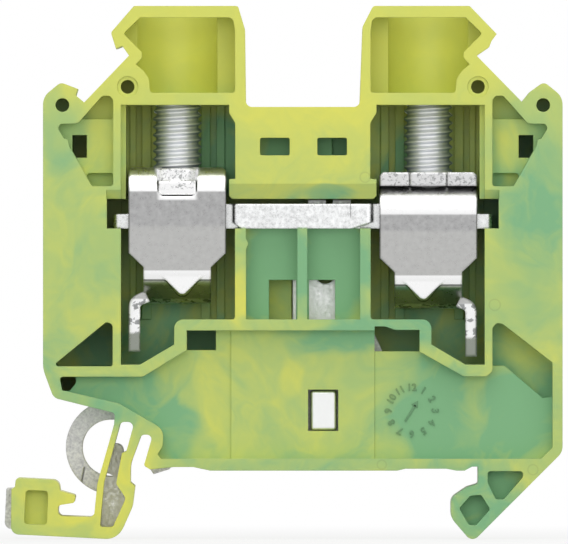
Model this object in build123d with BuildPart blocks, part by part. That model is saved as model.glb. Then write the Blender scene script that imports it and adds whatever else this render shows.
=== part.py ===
from build123d import *
import os

# Earth terminal block for a 35 mm mounting rail, in millimetres.
# X runs along the conductors, Y across the row of blocks and Z up from the rail.
# The origin is the middle of the rail's top face. The open side of the housing faces -Y.

# Block as a whole
pitch = 12.2                  # width that the block takes on the rail
half_length = 25.85           # middle of the rail to an end face
tower_top = 46.25             # rail to the top of the towers
bridge_top = 36.2             # rail to the floor between the towers
back_wall = 1.0               # closed side
rail_half = 17.4              # half of the 35 mm rail, less the spring's preload
hook_tip = -6.8               # lowest point of the hook and the spring foot

# Clamping points, one on each side
clamp_x = 12.5                # middle of the block to a screw's axis
clamp_y = -0.5                # screw axes, seen across the row
screw_diameter = 4.9          # M5 thread, measured just under its crests
screw_length = 10.3
screw_slot_width = 1.0
screw_slot_depth = 1.5
thread_clearance = 0.07       # between the screw and its hole, on the radius
cage_width = 9.7              # along X
cage_depth = 10.0             # along Y
cage_height = 13.75           # top of the cage to the bottom of its trough
sheet = 1.35                  # sheet steel of the cages
cage_bend = 2.6               # outer radius of the bends at the top
nose_depth = 1.4              # stiffening noses over the lower bends
guard_length = 18.35          # top of the cage to the end of its wire guard
collar_radius = 3.0           # round the thread, seen in the notch
left_cage_top = 30.2          # rail to the top of each cage, as it stands
right_cage_top = 29.7

# Current bar
bar_bottom = 24.1
bar_thickness = 2.45
bar_width = 10.0              # between the clamps, along Y
tongue_width = 6.0            # through the cages
bar_half_length = 18.85
bar_front = -5.6
end_step = 1.0                # how much lower the bar's two ends are on top

# Earth foot, a stamped plate
foot_sheet = 2.0
foot_clearance = 0.12         # plate to the housing's slot
prong_width = 1.78
prong_rise = 0.42             # riveted ends above the bar
ring_outer = 4.72
ring_inner = 2.8

# Housing details
inner_wall = 18.1             # middle to the outer wall of a screw compartment
inner_edge = 7.33             # middle to the inner wall of a screw compartment
rib_edge = 6.75               # middle to the outer face of the outer ribs
shaft_diameter = 8.2          # screwdriver shaft
blade_hole = 4.4              # hole in the ledge that the screwdriver passes
screw_pocket = 5.3            # counterbore under the ledge that holds the screw's top
ledge_top = 37.6
ledge_bottom = 36.4
ledge_skin = 0.6              # left above the counterbore
wire_z = 20.2                 # axis of the wire entries
funnel_radius = 4.9
funnel_depth = 4.5
neck_radius = 3.7
web_depth = 2.0               # open side to the web behind the lower rim
floor_depth = 2.9             # open side to the floor between the ribs
tower_floor_depth = 4.6       # open side to the flat floor of a tower
pocket_depth = 4.4            # windows between the towers and pocket over the hook
hook_pocket_depth = 2.4       # blind pockets of the hook
foot_pocket_depth = 1.6       # blind pocket of the spring foot
pocket_step = 1.3             # how much deeper the ends of the side pockets are
peg_height = 0.8
guide_ribs = ((8.2, 0.8), (9.7, 0.9), (15.6, 0.9), (16.95, 0.6))   # middles and widths
guide_grooves = ((8.93, 0.65), (16.35, 0.6))
rib_height = 0.4
groove_depth = 0.4
guide_step = 0.5              # steps along the outer walls of the compartments
hole_radius = 0.68
hole_depth = 5.0
outer_hole = (23.92, 36.38)   # holes and pegs that join the blocks of a row
inner_hole = (17.43, 38.2)

front = -pitch / 2
back = pitch / 2
inside_back = back - back_wall
bar_top = bar_bottom + bar_thickness
chamber_top = bar_top + 0.5
band_top = 15.05              # floor of the middle compartments
band_bottom = band_top - 1.1
screw_top = ledge_top - ledge_skin - 0.05
screw_bottom = screw_top - screw_length
web_y = front + web_depth


def side_plane(y):
    """Plane parallel to the open side. Its sketches are drawn as (x, z)."""
    return Plane.XZ.offset(-y)


def mirrored(corners):
    """The same outline on the other side of the block."""
    return [(-x, z, r) for x, z, r in corners]


def points(corners):
    return [(x, z) for x, z, _ in corners]


def radii(corners):
    return [r for _, _, r in corners]


# Outline of the moulding, seen from the open side: corners as (x, z, radius), round stretches
# between them. It starts at the top of the left tower and runs down the left flank.
left_flank = [
    (-16.8, tower_top, 0.3), (-19.1, tower_top - 2.65, 0.4), (-18.6, tower_top - 4.25, 0),
    (-17.95, tower_top - 4.0, 0), (-17.3, tower_top - 4.95, 0), (-21.75, 36.65, 0),
    (-22.6, 37.35, 0), (-22.4, 38.0, 0), (-24.1, 38.65, 0.7), (-half_length, 37.2, 1.6),
    (-half_length, 10.1, 3.0), (-24.8, 7.25, 0.9), (-18.7, 5.72, 0.35), (-18.78, 4.6, 0),
]
spring_foot = [
    (-20.45, -1.3, 2.0), (-20.78, -4.63, 0.5), (-24.35, -4.5, 0.5), (-24.35, -3.45, 0.4),
    (-22.75, -3.2, 0.25), (-22.6, -2.45, 0.25), (-24.15, -2.0, 0), (-24.3, -0.95, 0.75),
    (-28.55, -0.72, 0.35), (-28.65, -1.6, 0), (-29.0, -1.85, 0), (-29.05, -6.32, 0.8),
    (-18.4, hook_tip - 0.05, 1.8), (-16.95, -3.6, 2.5), (-16.7, -1.55, 0),
    (-rail_half + 0.25, -1.15, 0), (-rail_half + 0.25, 0.6, 3.0), (-16.05, 3.58, 0.45),
    (-14.92, 3.58, 0.45), (-15.82, 0.5, 0.25), (-15.2, 0.12, 0),
]
underside = [
    (-12.8, 0.36, 0), (-10.9, 0.36, 0), (-9.2, 0, 0), (9.4, 0, 0), (10.2, 0.19, 0),
    (14.3, 0.19, 0), (15.3, 0, 0), (16.1, 0, 0), (16.85, 0.4, 0), (rail_half + 0.05, 0.4, 0),
]
rail_hook = [
    (rail_half + 0.05, -1.3, 0.3), (16.3, -1.65, 0.8), (14.75, -2.7, 1.0), (14.75, -4.7, 1.6),
    (16.85, hook_tip - 0.35, 0.75), (half_length, 1.85, 1.4),
]
right_flank = [
    (half_length, 37.2, 1.6), (24.0, 38.7, 0.6), (22.6, 37.7, 0), (21.8, 36.7, 0),
    (17.3, tower_top - 4.95, 0), (18.55, tower_top - 4.1, 0), (18.78, tower_top - 3.5, 0),
    (19.3, tower_top - 2.8, 0), (16.6, tower_top, 0.3),
]
towers_inside = [
    (7.0, tower_top, 0.4), (5.95, 44.2, 0.8), (5.65, bridge_top, 0.6), (-5.65, bridge_top, 0.6),
    (-5.75, 43.9, 0.8), (-6.45, tower_top, 0.3),
]
silhouette = left_flank + spring_foot + underside + rail_hook + right_flank + towers_inside

# Slot between the two arms of the spring foot
arm_slot = [
    (-18.12, 4.85, 0.5), (-16.75, 4.85, 0.5), (-17.55, 1.95, 0), (-18.0, 1.75, 0),
    (-18.58, -1.3, 0.5), (-17.62, -2.75, 0.45), (-18.9, -5.6, 0.35), (-20.18, -5.6, 0.25),
    (-19.78, -1.2, 2.0),
]

# Openings towards the open side
tower_pocket = [
    (-6.95, 45.1, 0.6), (-16.2, 45.1, 0), (-17.85, 43.5, 0.25), (-16.02, 41.65, 0),
    (-16.0, 41.1, 0), (-16.6, 40.42, 0), (-15.85, 39.8, 0.3), (-15.3, 39.0, 1.0),
    (-15.2, ledge_top, 0.35), (-6.75, ledge_top, 0.3), (-6.75, 43.8, 0.8),
]
screw_compartment = [
    (-inner_wall, ledge_bottom, 0), (-inner_edge, ledge_bottom, 0), (-inner_edge, 35.6, 0.4),
    (-inner_edge + 0.61, 34.6, 0.3), (-inner_edge + 0.61, 29.05, 0), (-inner_edge, 29.0, 0),
    (-inner_edge, bar_bottom, 0), (-rib_edge, bar_bottom, 0), (-rib_edge, band_top, 0.3),
    (-clamp_x - 0.3, band_top, 0.9), (-clamp_x - 0.3, 12.55, 0), (-16.2, 10.55, 0.2),
    (-inner_wall, 10.55, 0),
]
bar_slot = [
    (-inner_wall - 1.4, chamber_top, 0), (-inner_wall + 0.5, chamber_top, 0),
    (-inner_wall + 0.5, bar_bottom, 0), (-inner_wall - 1.4, bar_bottom, 0),
]
bar_chamber = [
    (-inner_edge - 0.2, chamber_top + 0.3, 0), (-inner_edge, chamber_top + 0.3, 0.2),
    (-inner_edge + 0.3, chamber_top, 0.2), (inner_edge - 0.3, chamber_top, 0.2),
    (inner_edge, chamber_top + 0.3, 0.2), (inner_edge + 0.2, chamber_top + 0.3, 0),
    (inner_edge + 0.2, bar_bottom, 0), (-inner_edge - 0.2, bar_bottom, 0),
]
side_pocket = [
    (-inner_wall - 0.77, 36.9, 0.5), (-19.2, 37.3, 0.3), (-19.95, 37.3, 0.3), (-22.4, 34.55, 0.6),
    (-24.15, 34.5, 0.25), (-24.35, 34.05, 0.2), (-23.75, 33.05, 0), (-23.38, 32.95, 0.2),
    (-23.25, 32.3, 0.3), (-20.98, 28.3, 0.25), (-inner_wall - 0.77, 28.3, 0.3),
]
side_pocket_top = [
    (-inner_wall - 0.77, 36.9, 0.5), (-19.2, 37.3, 0.3), (-19.95, 37.3, 0.3), (-22.0, 35.0, 0),
    (-inner_wall - 0.77, 35.0, 0.25),
]
side_pocket_foot = [
    (-inner_wall - 0.77, 29.62, 0.3), (-21.7, 29.62, 0.3), (-20.98, 28.3, 0.25),
    (-inner_wall - 0.77, 28.3, 0.3),
]
side_window = [(-22.95, 33.4, 0), (-21.5, 33.4, 0), (-21.5, 31.15, 0), (-22.55, 31.15, 0),
               (-22.95, 31.85, 0)]
left_triangle = [(-19.5, 14.85, 0.45), (-18.92, 14.5, 0.4), (-18.92, 10.38, 0.25), (-24.95, 10.38, 0.22)]
hex_hole = [(-24.2, 9.33, 0.25), (-22.6, 9.33, 0.2), (-22.6, 8.7, 0.3), (-23.2, 7.95, 0.2),
            (-23.95, 7.95, 0.2)]
lower_web = [
    (-11.55, band_bottom, 0), (inner_edge - 0.2, band_bottom, 0), (11.62, band_bottom, 0),
    (11.62, 11.85, 0.2), (16.0, 9.38, 0.5), (18.3, 9.38, 0.4), (18.87, 9.9, 0.4), (18.87, 14.2, 0.3),
    (19.3, 14.72, 0.4), (19.9, 14.6, 0.4), (24.85, 10.75, 0.2), (24.85, 2.3, 0.3),
    (23.7, 1.17, 0.3), (-14.1, 1.17, 0), (-14.45, 1.65, 0), (-13.95, 2.4, 0.6),
    (-13.85, 4.1, 1.3), (-18.3, 6.7, 2.0), (-23.95, 8.0, 0.3), (-24.2, 9.35, 0.3),
    (-15.9, 9.35, 0.9), (-11.55, 12.0, 0),
]
web_middle = [
    (-inner_edge + 0.18, band_bottom, 0), (inner_edge - 0.18, band_bottom, 0),
    (inner_edge - 0.18, 1.17, 0), (-inner_edge + 0.18, 1.17, 0),
]
right_deep = [
    (18.87, 14.2, 0.3), (19.3, 14.72, 0.4), (19.9, 14.6, 0.4), (24.85, 10.75, 0.2),
    (24.85, 7.35, 0), (23.9, 7.2, 0.2), (20.1, 10.45, 0.5), (18.87, 10.45, 0),
]
left_window = [(-11.52, band_bottom, 0), (-8.65, band_bottom, 0), (-8.65, 12.0, 0),
               (-11.52, 12.0, 0)]
right_window = [(inner_edge - 0.18, 14.35, 0), (8.2, 14.35, 0.2), (9.2, 14.0, 0.2),
                (11.6, 14.0, 0), (11.6, 11.88, 0), (inner_edge - 0.18, 11.88, 0)]
triangle_pocket = [(18.4, -0.05, 0.3), (21.95, -0.05, 0.35), (21.9, -0.65, 0.3), (20.0, -2.85, 0.3),
                   (19.2, -2.85, 0.25), (18.4, -1.2, 0.4)]
diamond_pocket = [(17.75, -2.4, 0.3), (18.65, -3.85, 0.3), (17.25, -5.42, 0.25), (16.55, -5.42, 0.25),
                  (15.55, -3.75, 0.3), (16.65, -2.5, 0.4)]
foot_pocket = [(-27.55, -1.93, 0.35), (-25.33, -2.02, 0.35), (-25.48, -5.4, 0.35), (-27.75, -5.3, 0.35)]

# The earth foot's body behind the web, its finger in the arm slot and its limb in the spring foot
foot_body = [
    (-1.0, bar_bottom, 0), (-1.0, 11.6, 1.0), (-5.0, 8.6, 1.5), (-16.8, 8.3, 1.5), (-18.9, 7.02, 0),
    (-19.15, 5.05, 0), (-16.7, 5.05, 0), (-16.4, 4.05, 0.2), (-14.7, 3.9, 0.2), (-15.45, 0.9, 0),
    (-15.2, 0.1, 0), (-14.87, -0.4, 0), (-13.3, 0.1, 0), (-13.1, 0.33, 0),
    (-10.9, 0.33, 0), (-9.2, 0, 0), (9.4, 0, 0), (10.2, 0.16, 0), (14.9, 0.16, 0),
    (15.4, -0.02, 0), (16.1, -0.02, 0), (16.9, 0.5, 0), (16.9, 8.6, 0.8),
    (9.3, 8.8, 1.0), (7.72, 12.4, 0.5), (7.05, 13.8, 0.3), (5.8, 16.2, 0.6), (5.8, bar_bottom, 0),
]
foot_finger = [
    (-19.0, 2.7, 0.2), (-17.88, 2.7, 0.7), (-17.7, -0.8, 0.5), (-17.3, -2.6, 0.3),
    (-18.3, -5.95, 0.8), (-20.3, -5.9, 0), (-20.3, -2.3, 0), (-18.9, -2.42, 0), (-18.9, -0.53, 0),
    (-20.2, 0.05, 0), (-19.75, 0.05, 0),
]
foot_limb = [
    (-18.3, -4.8, 0.2), (-24.75, -4.8, 0.2), (-24.8, -1.7, 0.3), (-29.55, -1.72, 0.25),
    (-29.75, -5.85, 0.7), (-18.3, -5.95, 0.8),
]

with BuildSketch(Plane.XZ) as foot_shape:
    with BuildLine():
        FilletPolyline(points(foot_body), radius=radii(foot_body), close=True)
    make_face()
    with Locations((-18.9, 2.3)):
        Circle(ring_outer)
    with Locations((-19.15, 2.25)):
        Circle(ring_inner, mode=Mode.SUBTRACT)
    # The ring is open towards the rail: only its left half stays.
    with BuildLine():
        Polyline((-18.9, 5.05), (-16.65, 5.05), (-16.35, 4.02), (-14.66, 3.88), (-15.3, 1.0),
                 (-13, -3), (-18.9, -3), close=True)
    make_face(mode=Mode.SUBTRACT)
    with BuildLine():
        FilletPolyline(points(foot_body), radius=radii(foot_body), close=True)
    make_face()
    for corners in (foot_finger, foot_limb):
        with BuildLine():
            FilletPolyline(points(corners), radius=radii(corners), close=True)
        make_face()

with BuildSketch(Plane.XZ) as foot_slot:
    add(foot_shape.sketch)
    offset(amount=foot_clearance)

# Housing: one moulding with the towers, compartments, wire entries, hook and spring foot
deep_outlines = (screw_compartment, mirrored(screw_compartment), left_triangle, hex_hole)
with BuildPart() as housing:
    with BuildSketch(side_plane(front)):
        with BuildLine():
            FilletPolyline(points(silhouette), radius=radii(silhouette), close=True)
        make_face()
        with BuildLine():
            FilletPolyline(points(arm_slot), radius=radii(arm_slot), close=True)
        make_face(mode=Mode.SUBTRACT)
    extrude(amount=-pitch)

    # Pockets that reach the closed side
    with BuildSketch(side_plane(front)):
        for corners in deep_outlines:
            with BuildLine():
                FilletPolyline(points(corners), radius=radii(corners), close=True)
            make_face()
    extrude(amount=-(pitch - back_wall), mode=Mode.SUBTRACT)

    # Chamber and slots of the current bar
    with BuildSketch(side_plane(front)):
        for corners in (bar_chamber, bar_slot, mirrored(bar_slot)):
            with BuildLine():
                FilletPolyline(points(corners), radius=radii(corners), close=True)
            make_face()
    extrude(amount=-(bar_front + bar_width + 0.2 - front), mode=Mode.SUBTRACT)

    # Shallow lower web, with its middle standing slightly proud
    with BuildSketch(side_plane(front)):
        with BuildLine():
            FilletPolyline(points(lower_web), radius=radii(lower_web), close=True)
        make_face()
    extrude(amount=-web_depth, mode=Mode.SUBTRACT)
    with BuildSketch(side_plane(web_y)):
        with BuildLine():
            Polyline(points(web_middle), close=True)
        make_face()
    extrude(amount=0.2)

    # Compartments between the ribs, under the current bar
    with BuildSketch(side_plane(front)):
        for low, high in ((-rib_edge + 1.1, -0.55), (0.45, rib_edge - 1.05)):
            with Locations(((low + high) / 2, (bar_bottom + band_top) / 2)):
                Rectangle(high - low, bar_bottom - band_top)
    extrude(amount=-floor_depth, mode=Mode.SUBTRACT)

    # Nib on the left rib, which holds the neighbour's label strip
    with BuildSketch(side_plane(front)):
        with BuildLine():
            Polyline((-rib_edge + 1.1, 23.1), (-rib_edge + 1.35, 22.6), (-rib_edge + 1.1, 22.0), close=True)
        make_face()
    extrude(amount=-floor_depth)

    # Windows through the web, down to the earth foot's slot
    with BuildSketch(side_plane(front)):
        for low, high in ((-3.36, -0.66), (0.62, 3.22)):
            with Locations(((low + high) / 2, (band_top + 18.98) / 2)):
                Rectangle(high - low, 18.98 - band_top)
        with Locations((2.03, 6.0)):
            Rectangle(3.0, 4.1)
    extrude(amount=front, mode=Mode.SUBTRACT)
    with BuildSketch(side_plane(front)):
        for corners in (left_window, right_window):
            with BuildLine():
                FilletPolyline(points(corners), radius=radii(corners), close=True)
            make_face()
    extrude(amount=-(pitch - 3 * back_wall), mode=Mode.SUBTRACT)

    # Windows of the block between the towers
    with BuildSketch(side_plane(front)):
        for middle in (-2.78, 2.92):
            with Locations((middle, 32.25)):
                RectangleRounded(2.95, 1.75, 0.2)
    extrude(amount=-pocket_depth, mode=Mode.SUBTRACT)
    with BuildSketch(side_plane(front)):
        with Locations((3.66, 32.25)):
            RectangleRounded(1.47, 1.75, 0.2)
    extrude(amount=-pocket_depth - pocket_step, mode=Mode.SUBTRACT)

    # Towers: front pocket, screwdriver shaft, ledge with the screw's seat
    with BuildSketch(side_plane(front)):
        for corners in (tower_pocket, mirrored(tower_pocket)):
            with BuildLine():
                FilletPolyline(points(corners), radius=radii(corners), close=True)
            make_face()
    extrude(amount=-tower_floor_depth, mode=Mode.SUBTRACT)
    with BuildSketch(Plane.XY.offset(ledge_top)):
        with Locations((-clamp_x, clamp_y), (clamp_x, clamp_y)):
            Circle(shaft_diameter / 2)
    extrude(amount=tower_top - ledge_top + 1, mode=Mode.SUBTRACT)
    with BuildSketch(Plane.XY.offset(ledge_bottom - 0.5)):
        with Locations((-clamp_x, clamp_y), (clamp_x, clamp_y)):
            Circle(blade_hole / 2)
    extrude(amount=ledge_top - ledge_bottom + 1, mode=Mode.SUBTRACT)
    with BuildSketch(Plane.XY.offset(ledge_bottom - 0.5)):
        with Locations((-clamp_x, clamp_y), (clamp_x, clamp_y)):
            Circle(screw_pocket / 2)
    extrude(amount=ledge_top - ledge_skin - ledge_bottom + 0.5, mode=Mode.SUBTRACT)

    # Side pockets: a shallow floor, deeper above and below it, and a window
    with BuildSketch(side_plane(front)):
        for corners in (side_pocket, mirrored(side_pocket)):
            with BuildLine():
                FilletPolyline(points(corners), radius=radii(corners), close=True)
            make_face()
    extrude(amount=-web_depth, mode=Mode.SUBTRACT)
    with BuildSketch(side_plane(front)):
        for outline in (side_pocket_top, side_pocket_foot):
            for corners in (outline, mirrored(outline)):
                with BuildLine():
                    FilletPolyline(points(corners), radius=radii(corners), close=True)
                make_face()
    extrude(amount=-web_depth - pocket_step, mode=Mode.SUBTRACT)
    with BuildSketch(side_plane(front)):
        for corners in (side_window, mirrored(side_window)):
            with BuildLine():
                FilletPolyline(points(corners), radius=radii(corners), close=True)
            make_face()
    extrude(amount=-(pitch - back_wall), mode=Mode.SUBTRACT)

    # Pocket over the hook, blind pockets of the hook itself and of the spring foot
    with BuildSketch(side_plane(front)):
        with BuildLine():
            FilletPolyline(points(right_deep), radius=radii(right_deep), close=True)
        make_face()
    extrude(amount=-pocket_depth, mode=Mode.SUBTRACT)
    with BuildSketch(side_plane(front)):
        for corners in (triangle_pocket, diamond_pocket):
            with BuildLine():
                FilletPolyline(points(corners), radius=radii(corners), close=True)
            make_face()
    extrude(amount=-hook_pocket_depth, mode=Mode.SUBTRACT)
    with BuildSketch(side_plane(front)):
        with BuildLine():
            FilletPolyline(points(foot_pocket), radius=radii(foot_pocket), close=True)
        make_face()
    extrude(amount=-foot_pocket_depth, mode=Mode.SUBTRACT)

    # Wire entries: a funnel in each end face and a neck into the compartment
    for side in (-1, 1):
        with BuildSketch(Plane.YZ.offset(side * half_length)):
            with Locations((clamp_y, wire_z)):
                Circle(funnel_radius)
        with BuildSketch(Plane.YZ.offset(side * (half_length - funnel_depth))):
            with Locations((clamp_y, wire_z)):
                Circle(neck_radius)
        loft(mode=Mode.SUBTRACT)
        with BuildSketch(Plane.YZ.offset(side * (half_length - funnel_depth))):
            with Locations((clamp_y, wire_z)):
                Circle(neck_radius)
        extrude(amount=-side * (half_length - funnel_depth - inner_wall + 0.5), mode=Mode.SUBTRACT)

    # Bevels that lead the bar into its chamber from the open side
    with BuildSketch(Plane.YZ):
        with BuildLine():
            Polyline((front - 0.5, chamber_top + 1.5), (front, chamber_top + 1.5),
                     (front + 1.0, chamber_top), (front - 0.5, chamber_top), close=True)
        make_face()
    extrude(amount=inner_edge, both=True, mode=Mode.SUBTRACT)
    for side in (-1, 1):
        with BuildSketch(Plane.YZ.offset(side * (inner_wall - 0.1))):
            with BuildLine():
                Polyline((front - 0.5, chamber_top + 0.9), (front, chamber_top + 0.9),
                         (front + 0.8, chamber_top), (front - 0.5, chamber_top), close=True)
            make_face()
        extrude(amount=side * 1.55, mode=Mode.SUBTRACT)

    # Slot of the earth foot, open towards the rail
    extrude(foot_slot.sketch, amount=foot_sheet / 2 + 0.1, both=True, mode=Mode.SUBTRACT)

    # Ribs on the closed side with grooves between them, and low steps along the outer walls
    with BuildSketch(side_plane(inside_back)):
        for side in (-1, 1):
            for middle, width in guide_grooves:
                with Locations((side * middle, (ledge_bottom + band_top) / 2)):
                    Rectangle(width, ledge_bottom - band_top)
    extrude(amount=-groove_depth, mode=Mode.SUBTRACT)
    with BuildSketch(side_plane(inside_back)):
        for side in (-1, 1):
            for middle, width in guide_ribs:
                with Locations((side * middle, (ledge_bottom + band_top) / 2)):
                    Rectangle(width, ledge_bottom - band_top)
    extrude(amount=rib_height)
    with BuildSketch(side_plane(inside_back)):
        for side in (-1, 1):
            with Locations((side * (inner_wall - guide_step / 2), (ledge_bottom + chamber_top) / 2)):
                Rectangle(guide_step, ledge_bottom - chamber_top)
    extrude(amount=inside_back - front - 1.6)

    # Holes on the open side and pegs on the closed side, which join the blocks of a row
    places = [(side * x, z) for side in (-1, 1) for x, z in (outer_hole, inner_hole)]
    with BuildSketch(side_plane(front)):
        with Locations(*places):
            Circle(hole_radius)
    extrude(amount=-hole_depth, mode=Mode.SUBTRACT)
    with BuildSketch(side_plane(front)):
        with Locations((-inner_hole[0], inner_hole[1]), inner_hole):
            Circle(1.04)
    extrude(amount=-0.2, mode=Mode.SUBTRACT)
    with BuildSketch(side_plane(back)):
        with Locations(*places):
            Circle(hole_radius - 0.06)
    extrude(amount=-peg_height)

housing.part.label = "housing"

# Current bar: wide between the clamps, narrower where it passes through the cages
with BuildPart() as current_bar:
    with BuildSketch(Plane.XY.offset(bar_bottom)):
        with Locations((0, bar_front + bar_width / 2)):
            RectangleRounded(2 * inner_edge - 0.7, bar_width, 0.8)
        with Locations((0, clamp_y)):
            RectangleRounded(2 * bar_half_length, tongue_width, 0.4)
        with Locations((1.41, 0), (3.9, 0)):
            Rectangle(prong_width + 0.04, foot_sheet + 0.04, mode=Mode.SUBTRACT)
    extrude(amount=bar_thickness)
    for side in (-1, 1):
        with BuildSketch(Plane.XY.offset(bar_top)):
            with Locations((side * bar_half_length, clamp_y)):
                Rectangle(2 * (bar_half_length - clamp_x - cage_width / 2 + 0.6), tongue_width + 1)
        extrude(amount=-end_step, mode=Mode.SUBTRACT)
    # Sheared lower corners of the wide part
    with BuildSketch(side_plane(bar_front)):
        with BuildLine():
            Polyline((-inner_edge, bar_bottom - 1), (-inner_edge, bar_bottom + 0.7),
                     (-inner_edge + 0.5, bar_bottom + 0.55), (-6.1, bar_bottom), (-6.1, bar_bottom - 1),
                     close=True)
        make_face()
        with BuildLine():
            Polyline((4.8, bar_bottom - 1), (4.8, bar_bottom), (inner_edge - 0.4, bar_bottom + 0.65),
                     (inner_edge, bar_bottom + 0.75), (inner_edge, bar_bottom - 1), close=True)
        make_face()
    extrude(amount=-(clamp_y - tongue_width / 2 - bar_front), mode=Mode.SUBTRACT)

current_bar.part.label = "current_bar"

# Earth foot: stamped plate with its ring, finger, limb, two prongs and the pressed lug
with BuildPart() as earth_foot:
    extrude(foot_shape.sketch, amount=foot_sheet / 2, both=True)
    with BuildSketch(Plane.XZ):
        for middle in (1.41, 3.9):
            with Locations((middle, (bar_bottom + bar_top + prong_rise) / 2 - 0.5)):
                Rectangle(prong_width, bar_thickness + prong_rise + 1.0)
    extrude(amount=foot_sheet / 2, both=True)
    with BuildSketch(Plane.XZ):
        with Locations((2.25, 19.55)):
            Circle(0.95)
    extrude(amount=foot_sheet, both=True, mode=Mode.SUBTRACT)
    with BuildSketch(side_plane(-foot_sheet / 2 + 0.2)) as lug_foot:
        with Locations((2.07, 5.98)):
            RectangleRounded(2.5, 3.9, 0.25)
    extrude(amount=-web_y - foot_sheet / 2 + 0.1)
    fillet(earth_foot.faces().sort_by(Axis.Y)[0].edges(), 0.3)
    # Parting line where the ring ends on the foot
    with BuildSketch(side_plane(-foot_sheet / 2)):
        with BuildLine():
            Polyline((-21.82, 0.3), (-21.68, 0.3), (-22.0, -1.4), (-22.14, -1.4), close=True)
        make_face()
    extrude(amount=-0.3, mode=Mode.SUBTRACT)

earth_foot.part.label = "earth_foot"

# Clamp cages: one bent strip each, with a doubled top that carries the thread. The seam of the
# right cage faces the open side, and the left cage is the same part turned half round.
half_depth = cage_depth / 2 - sheet / 2
bend = cage_bend - sheet / 2
lower_layer = -1.5 * sheet - 0.03
trough = -cage_height + sheet / 2 + 0.1
cages = {}
for name, side, top in (("left", -1, left_cage_top), ("right", 1, right_cage_top)):
    middle = side * clamp_x
    nose = middle - side * 0.5
    with BuildPart() as cage:
        with BuildSketch(Plane.YZ.offset(middle)) as strip:
            with BuildLine() as centre_line:
                FilletPolyline(
                    (clamp_y - side * 4.2, top - sheet / 2),
                    (clamp_y + side * half_depth, top - sheet / 2),
                    (clamp_y + side * half_depth, top - 10.9),
                    (clamp_y, top + trough),
                    (clamp_y - side * half_depth, top - 10.9),
                    (clamp_y - side * half_depth, top + lower_layer),
                    (clamp_y + side * 2.0, top + lower_layer),
                    radius=[bend, 1.0, 0.8, 1.0, bend],
                )
            trace(line_width=sheet)
        extrude(amount=cage_width / 2, both=True)
        # Rounded upper corners, and shoulders where the strip narrows towards its trough
        with BuildSketch(side_plane(clamp_y)):
            for end in (-1, 1):
                with BuildLine():
                    FilletPolyline(
                        (middle + end * (cage_width / 2 + 1), top - 0.35),
                        (middle + end * cage_width / 2, top - 0.35),
                        (middle + end * (cage_width / 2 - 0.35), top),
                        (middle + end * (cage_width / 2 - 0.35), top + 1),
                        (middle + end * (cage_width / 2 + 1), top + 1),
                        radius=[0.25, 0.25, 0, 0, 0], close=True,
                    )
                make_face()
                with BuildLine():
                    FilletPolyline(
                        (middle + end * (cage_width / 2 + 1), top - 8.5),
                        (middle + end * cage_width / 2, top - 8.5),
                        (middle + end * 3.35, top - 9.95),
                        (middle + end * 3.35, top - cage_height - 1),
                        (middle + end * (cage_width / 2 + 1), top - cage_height - 1),
                        radius=[0.4, 0.8, 0, 0, 0], close=True,
                    )
                make_face()
        extrude(amount=cage_depth, both=True, mode=Mode.SUBTRACT)
        # Wire guard, folded down from the outer end of the trough
        with BuildSketch(side_plane(clamp_y)):
            with BuildLine():
                FilletPolyline(
                    (middle + side * 3.0, top - 12.85),
                    (middle + side * 4.28, top - 13.4),
                    (middle + side * 4.28, top - guard_length),
                    radius=[0.9],
                )
            trace(line_width=1.15)
        extrude(amount=2.6, both=True)
        # Stiffening nose across each lower bend
        for end in (-1, 1):
            with BuildSketch(side_plane(clamp_y + end * (cage_depth / 2 - 0.1))):
                with BuildLine():
                    FilletPolyline(
                        (nose - 2.6, top - 10.5), (nose + 2.6, top - 10.5), (nose + 1.75, top - 11.1),
                        (nose, top - 12.8), (nose - 1.75, top - 11.1), radius=[0, 0, 0.8, 0.5, 0.8],
                        close=True,
                    )
                make_face()
            extrude(amount=end * nose_depth)
        # Notch in the rolled bend, with the thread's collar and the lower layer's locking tab in it
        with BuildSketch(side_plane(clamp_y + side * cage_depth)):
            with BuildLine():
                FilletPolyline(
                    (middle - 2.1, top + 0.5), (middle + 2.1, top + 0.5), (middle + 1.97, top - 2.4),
                    (middle + 1.5, top - 2.88), (middle - 1.5, top - 2.88), (middle - 1.97, top - 2.4),
                    radius=[0, 0, 0.5, 0.3, 0.3, 0.5], close=True,
                )
            make_face()
        extrude(amount=side * (cage_depth - 2.0), mode=Mode.SUBTRACT)
        with BuildSketch(Plane.XY.offset(top - 0.1)):
            with Locations((middle, clamp_y)):
                Circle(collar_radius)
        extrude(amount=-1.5 * sheet)
        with BuildSketch(Plane.XY.offset(top + lower_layer - sheet / 2)):
            with Locations((middle, clamp_y + side * 3.45)):
                Rectangle(3.7, 2.9)
        extrude(amount=sheet)
        # Threaded hole through both layers
        with BuildSketch(Plane.XY.offset(top + 1)):
            with Locations((middle, clamp_y)):
                Circle(screw_diameter / 2 + thread_clearance)
        extrude(amount=-(2 * sheet + 2), mode=Mode.SUBTRACT)
        # Two fine slits in the free edge of the upper layer
        with BuildSketch(Plane.XY.offset(top + 0.1)):
            with Locations((middle - 1.85, clamp_y - side * 3.8), (middle + 1.85, clamp_y - side * 3.8)):
                Rectangle(0.14, 1.2)
        extrude(amount=-sheet - 0.12, mode=Mode.SUBTRACT)
    cage.part.label = "clamp_cage_" + name
    cages[name] = cage

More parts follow.
